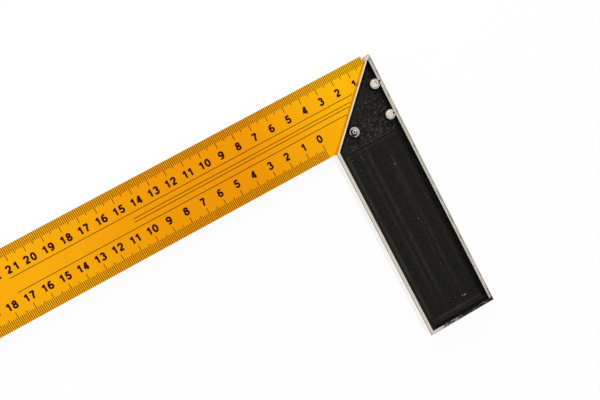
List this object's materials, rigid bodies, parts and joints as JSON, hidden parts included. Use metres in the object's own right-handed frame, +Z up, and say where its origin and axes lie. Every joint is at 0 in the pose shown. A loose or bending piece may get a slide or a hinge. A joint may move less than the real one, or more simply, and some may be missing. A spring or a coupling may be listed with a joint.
{
  "type": "try and mitre square",
  "caption": "Try and mitre square: a yellow printed steel blade riveted square into a black die-cast stock with a mitred end, for marking and checking right angles and mitres.",
  "frame": {"origin": "the inside corner of the square, where the stock's inner face meets the blade's inner edge, level with the surface that the stock lies on", "axes": "+X out along the blade's inner edge, +Y along the stock's inner face towards its square end, +Z up through the stock's thickness"},
  "size_m": [0.2532, 0.1515, 0.014],
  "materials": {
    "blade_lacquer": "satin lacquer on steel",
    "stock_paint": "satin black paint, rims and outer faces ground bright",
    "bare_metal": "ground",
    "scale_ink": "printed ink"
  },
  "bodies": {
    "root": {"blade": "blade_lacquer", "stock": "stock_paint", "rivet_tip": "bare_metal", "rivet_outer": "bare_metal", "rivet_inner": "bare_metal"}
  },
  "joints": []
}
